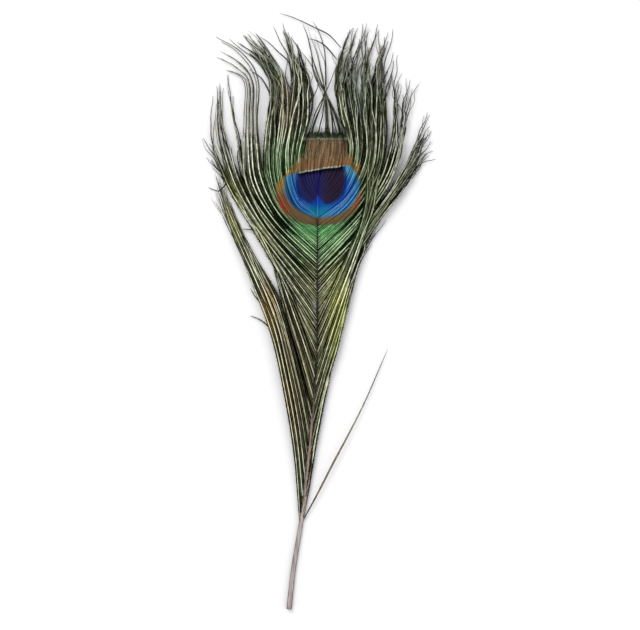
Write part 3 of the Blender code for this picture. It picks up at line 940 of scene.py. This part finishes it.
def growTuft(about, draw):
    # the barbs of one tuft: even at the roots, clinging together in locks towards the tips
    rule = growth
    inner, outer = np.array(about["inner"], float), np.array(about["outer"], float)
    outward = np.sign(inner[1, 0] - inner[0, 0] + outer[1, 0] - outer[0, 0])
    shares = np.linspace(0, 1, rule["samples"])
    locks, count = about["locks"], about["barbs"]
    drift = profileAt(np.linspace(0, 1, len(inner)), about["drift"])
    hook = -outward * about["hook"]
    middles = (np.arange(locks) + 0.5 + draw.uniform(-0.2, 0.2, locks)) / locks
    under, thin = int(count * about["under"]), int(count * about["loose"])
    barbs = []
    for number in range(count + under + thin):
        below = count <= number < count + under  # a barb of the layer beneath, darkened as painted shade
        flies = number >= count + under  # a thin barb that strays over its neighbours
        pale = number % about["pale"] == about["pale"] - 1
        tooth = "comb" in about and (number % 4 or below)
        share = draw.uniform(-1, 1) if number < count else draw.uniform()
        if number < count:
            share = (number + rule["rootSpread"] * share) / (count - 1)
        elif below:
            share = rule["underFrom"] + rule["underSpan"] * (number - count + 0.5) / under
        share = float(np.clip(share, 0, 1))
        lock = min(int(share * locks), locks - 1)
        if draw.uniform() < rule["crossing"]:
            lock = int(np.clip(lock + draw.choice((-1, 1)), 0, locks - 1))
        tip = middles[lock]
        tip = draw.uniform(*rule["flyReach"]) if flies else tip + aside(draw, rule["lockSpread"]) / locks
        places = inner + (outer - inner) * (share + (tip - share) * drift)[:, None]
        width = shaftWidth(places[0, 1])
        places[0, 0] += outward * 0.3 * width * (1 - soft(places[0, 1], *rule["coverFrom"]))

        end = 1 - (1 - rule["shortest"]) * draw.uniform() ** 1.5 - rule["underShorter"] * below
        if below and about["underEnd"]:
            end = about["underEnd"]
        lively = (rule["flyLively"] if flies else 1) * about["lively"]
        if tooth:
            end = about["teethEnd"] * draw.uniform(0.985, 1.015)
            lively *= rule["teeth"]
        elif "comb" in about and number % 8:
            end = about["tentEnd"]
        flat = through(places, shares * end)
        loose = soft(shares, 0.3, 0.8)
        swing = lively * rule["wave"] * loose * sway(shares, draw, rule["waveTurns"])
        swing += lively * rule["crook"] * loose * sway(shares, draw, rule["crookTurns"])
        bow = soft(shares, 0.78, 1.04) ** 1.6
        swing += (lively * aside(draw, 1) * rule["curl"] + hook * draw.uniform(0.2, 1.5)) * bow
        crimped = soft(shares, 0.6, 0.95)
        swing += lively * rule["crimp"] * crimped * sway(shares, draw, rule["crimpTurns"])
        ways = np.gradient(flat, axis=0)
        ways /= np.linalg.norm(ways, axis=1)[:, None]
        flat = flat + np.stack([-ways[:, 1], ways[:, 0]], 1) * swing[:, None]

        layer = rule["layers"] * (2 if pale else number % 2) + aside(draw, rule["layerSpread"])
        layer = layer + rule["flyLift"] * flies
        knit = closeKnit(flat)
        layer = about["arch"] + layer * (1 - 0.88 * knit) - rule["underDrop"] * below * (1 - 0.75 * knit)
        root = shaft["lift"] + 0.85 * width - 0.3 * below
        level = root + (rule["level"] - 0.35 * below - root) * soft(shares, 0, 0.07)
        level = level + (rule["tipHeight"] - level) * shares
        barb = {
            "path": np.column_stack([flat, level + layer * np.sin(np.pi * shares)]),
            "webs": rule["flyWebs"] if flies else about["webs"], "ribs": about["ribs"],
            "roll": loose * aside(draw, rule["roll"]),
            "fullness": draw.uniform(*rule["fullness"]) + rule["underFuller"] * below,
            "tone": draw.uniform(), "fringes": [rule["fringe"]], "pitch": rule["pitch"],
        }
        glint = (rule["paleGlint"] if pale else about["dull"]) + aside(draw, rule["glintSpread"])
        barb["glint"] = float(np.clip(glint, 0, 1))
        # a glint of -1 darkens a barb of the layer beneath as painted shade
        if below:
            barb.update({"glint": -1.0, "pitch": rule["underPitch"]})
        if flies:
            barb["pitch"] = rule["flyPitch"]
        if "comb" in about:
            bareStem(barb, about, tooth)
        barbs.append(barb)
    return barbs


def growPiece(name, names, material, seed):
    draw = np.random.default_rng(seed)
    barbs = [barb for tuft in names for barb in growTuft({**usualTuft, **tufts[tuft]}, draw)]
    joinBarbs(name, barbs, material, draw)


# Single barbs that have come away from their tufts

strays = {
    "webs": (0.2, 0.3, 0.36, 0.4, 0.42, 0.42, 0.4, 0.36, 0.32, 0.24, 0.08),
    "ribs": (0.12, 0.15, 0.16, 0.17, 0.17, 0.16, 0.15, 0.14, 0.12, 0.1, 0.06), "broad": 1.5,
    "roll": 20, "fullness": (0.85, 1.2), "glint": (0.2, 0.8), "fringe": (0.02, 0.98), "pitch": 0.7,
    "routes": [
        # crossing above the gap at the top of the eye
        [(14, 31, 4.6), (8, 43, 4.9), (5, 49, 4.6), (1, 56, 3.8), (-3, 65, 2.8), (-8, 72, 1.8)],
        [(-9, 34, 4.2), (-5, 43, 3.9), (-2, 49, 3.4), (0, 54, 2.8), (0, 60, 2.0)],
        [(10, 30, 2.4), (7.5, 40, 2.4), (5, 49, 2.2), (1.5, 57, 1.9), (-1.5, 66, 1.6), (-4, 70, 1.2)],
        [(-4, 31, 2.2), (-1, 41, 2.4), (3.5, 50, 2.5), (7, 58, 2.4), (10, 66, 2.2)],
        # wisps between the two crowns
        [(2, 52, 2.2), (-2, 62, 2.0), (-3, 71, 1.7), (-5, 80, 1.3), (-7.5, 86.5, 1.0)],
        [(4.5, 52, 2.4), (4.2, 64, 2.2), (3.4, 74, 1.8), (0.5, 83, 1.3), (-2.5, 88, 1.0)],
        [(12, 74, 3.4), (6, 80.5, 3.0), (-0.5, 84, 2.4), (-8, 87.8, 1.8), (-14, 90.4, 1.3),
         (-19.5, 92, 1.0)],
        [(10, 68, 3.2), (4, 75, 2.8), (-1, 78, 2.2), (-5, 79, 1.4)],
        [(-13, 60, 4.2), (-15, 67, 3.7), (-20, 72, 3.0), (-25, 77, 2.2), (-29.5, 80, 1.4)],
        # out past the left edge
        [(-44, 8, 3.6), (-49.5, 1.6, 2.6), (-53, 1.9, 1.6), (-55.8, 3.2, 1.0)],
        [(-27, -22, 3.4), (-31.5, -19.2, 2.6), (-35, -18.4, 1.9), (-38.5, -18.2, 1.2)],
        [(-24, -69, 2.6), (-27, -66, 2.1), (-30.5, -63.8, 1.5), (-34.5, -62.4, 1.0)],
        [(-27, -58, 2.6), (-30, -54.6, 2.2), (-32.5, -51.5, 1.6), (-34.2, -48.4, 1.0)],
        # long barb loose at the right of the stem
        [(-8.6, -169, 1.2), (-0.2, -153.5, 2.6), (8.5, -136.5, 3.2), (16.5, -121.5, 3.0),
         (24.5, -105.5, 2.2), (35.8, -79.5, 1.0)],
    ],
}


def growStrays(name, material, seed):
    about = strays
    draw = np.random.default_rng(seed)
    shares = np.linspace(0, 1, growth["samples"])
    barbs = []
    for route in about["routes"]:
        broad = about["broad"] if route is about["routes"][-1] else 1
        barbs.append({
            "path": through(route, shares), "webs": about["webs"], "ribs": about["ribs"],
            "roll": aside(draw, about["roll"]) * shares,
            "fullness": draw.uniform(*about["fullness"]) * broad, "tone": draw.uniform(),
            "glint": draw.uniform(*about["glint"]), "fringes": [about["fringe"]], "pitch": about["pitch"],
        })
    joinBarbs(name, barbs, material, draw)


setStage()
stock = {"barb": takeStock(pullSection(**barbStock)), "barbule": makeBarbuleStock()}
print("stock is modelled")

eyeSilk = barbMaterial("eyeSilk", withEye=True)
looseSilk = barbMaterial("looseSilk")
straySilk = barbMaterial("straySilk", dulled=True)

makeShaft(shaftMaterial())
makeGround(groundMaterial())
growPiece("barbsCrownMiddle", ["middleLeft", "middleRight"], eyeSilk, 7)
growPiece("barbsCrownLeft", ["crownLeft", "upperLeft"], eyeSilk, 1)
growPiece("barbsFlankLeft", ["bentLeft", "flankLeft", "marginLeft"], eyeSilk, 2)
growPiece("barbsLowerLeft", ["innerLeft", "lowerLeft"], looseSilk, 3)
growPiece("barbsCrownRight", ["crownRight", "upperRight"], eyeSilk, 4)
growPiece("barbsFanRight", ["sideRight", "fanRight"], eyeSilk, 5)
growPiece("barbsNeckRight", ["neckRight", "marginRight", "footRight"], looseSilk, 6)
growStrays("strayBarbs", straySilk, 8)
print("the feather has", sum(triangles.values()), "triangles")
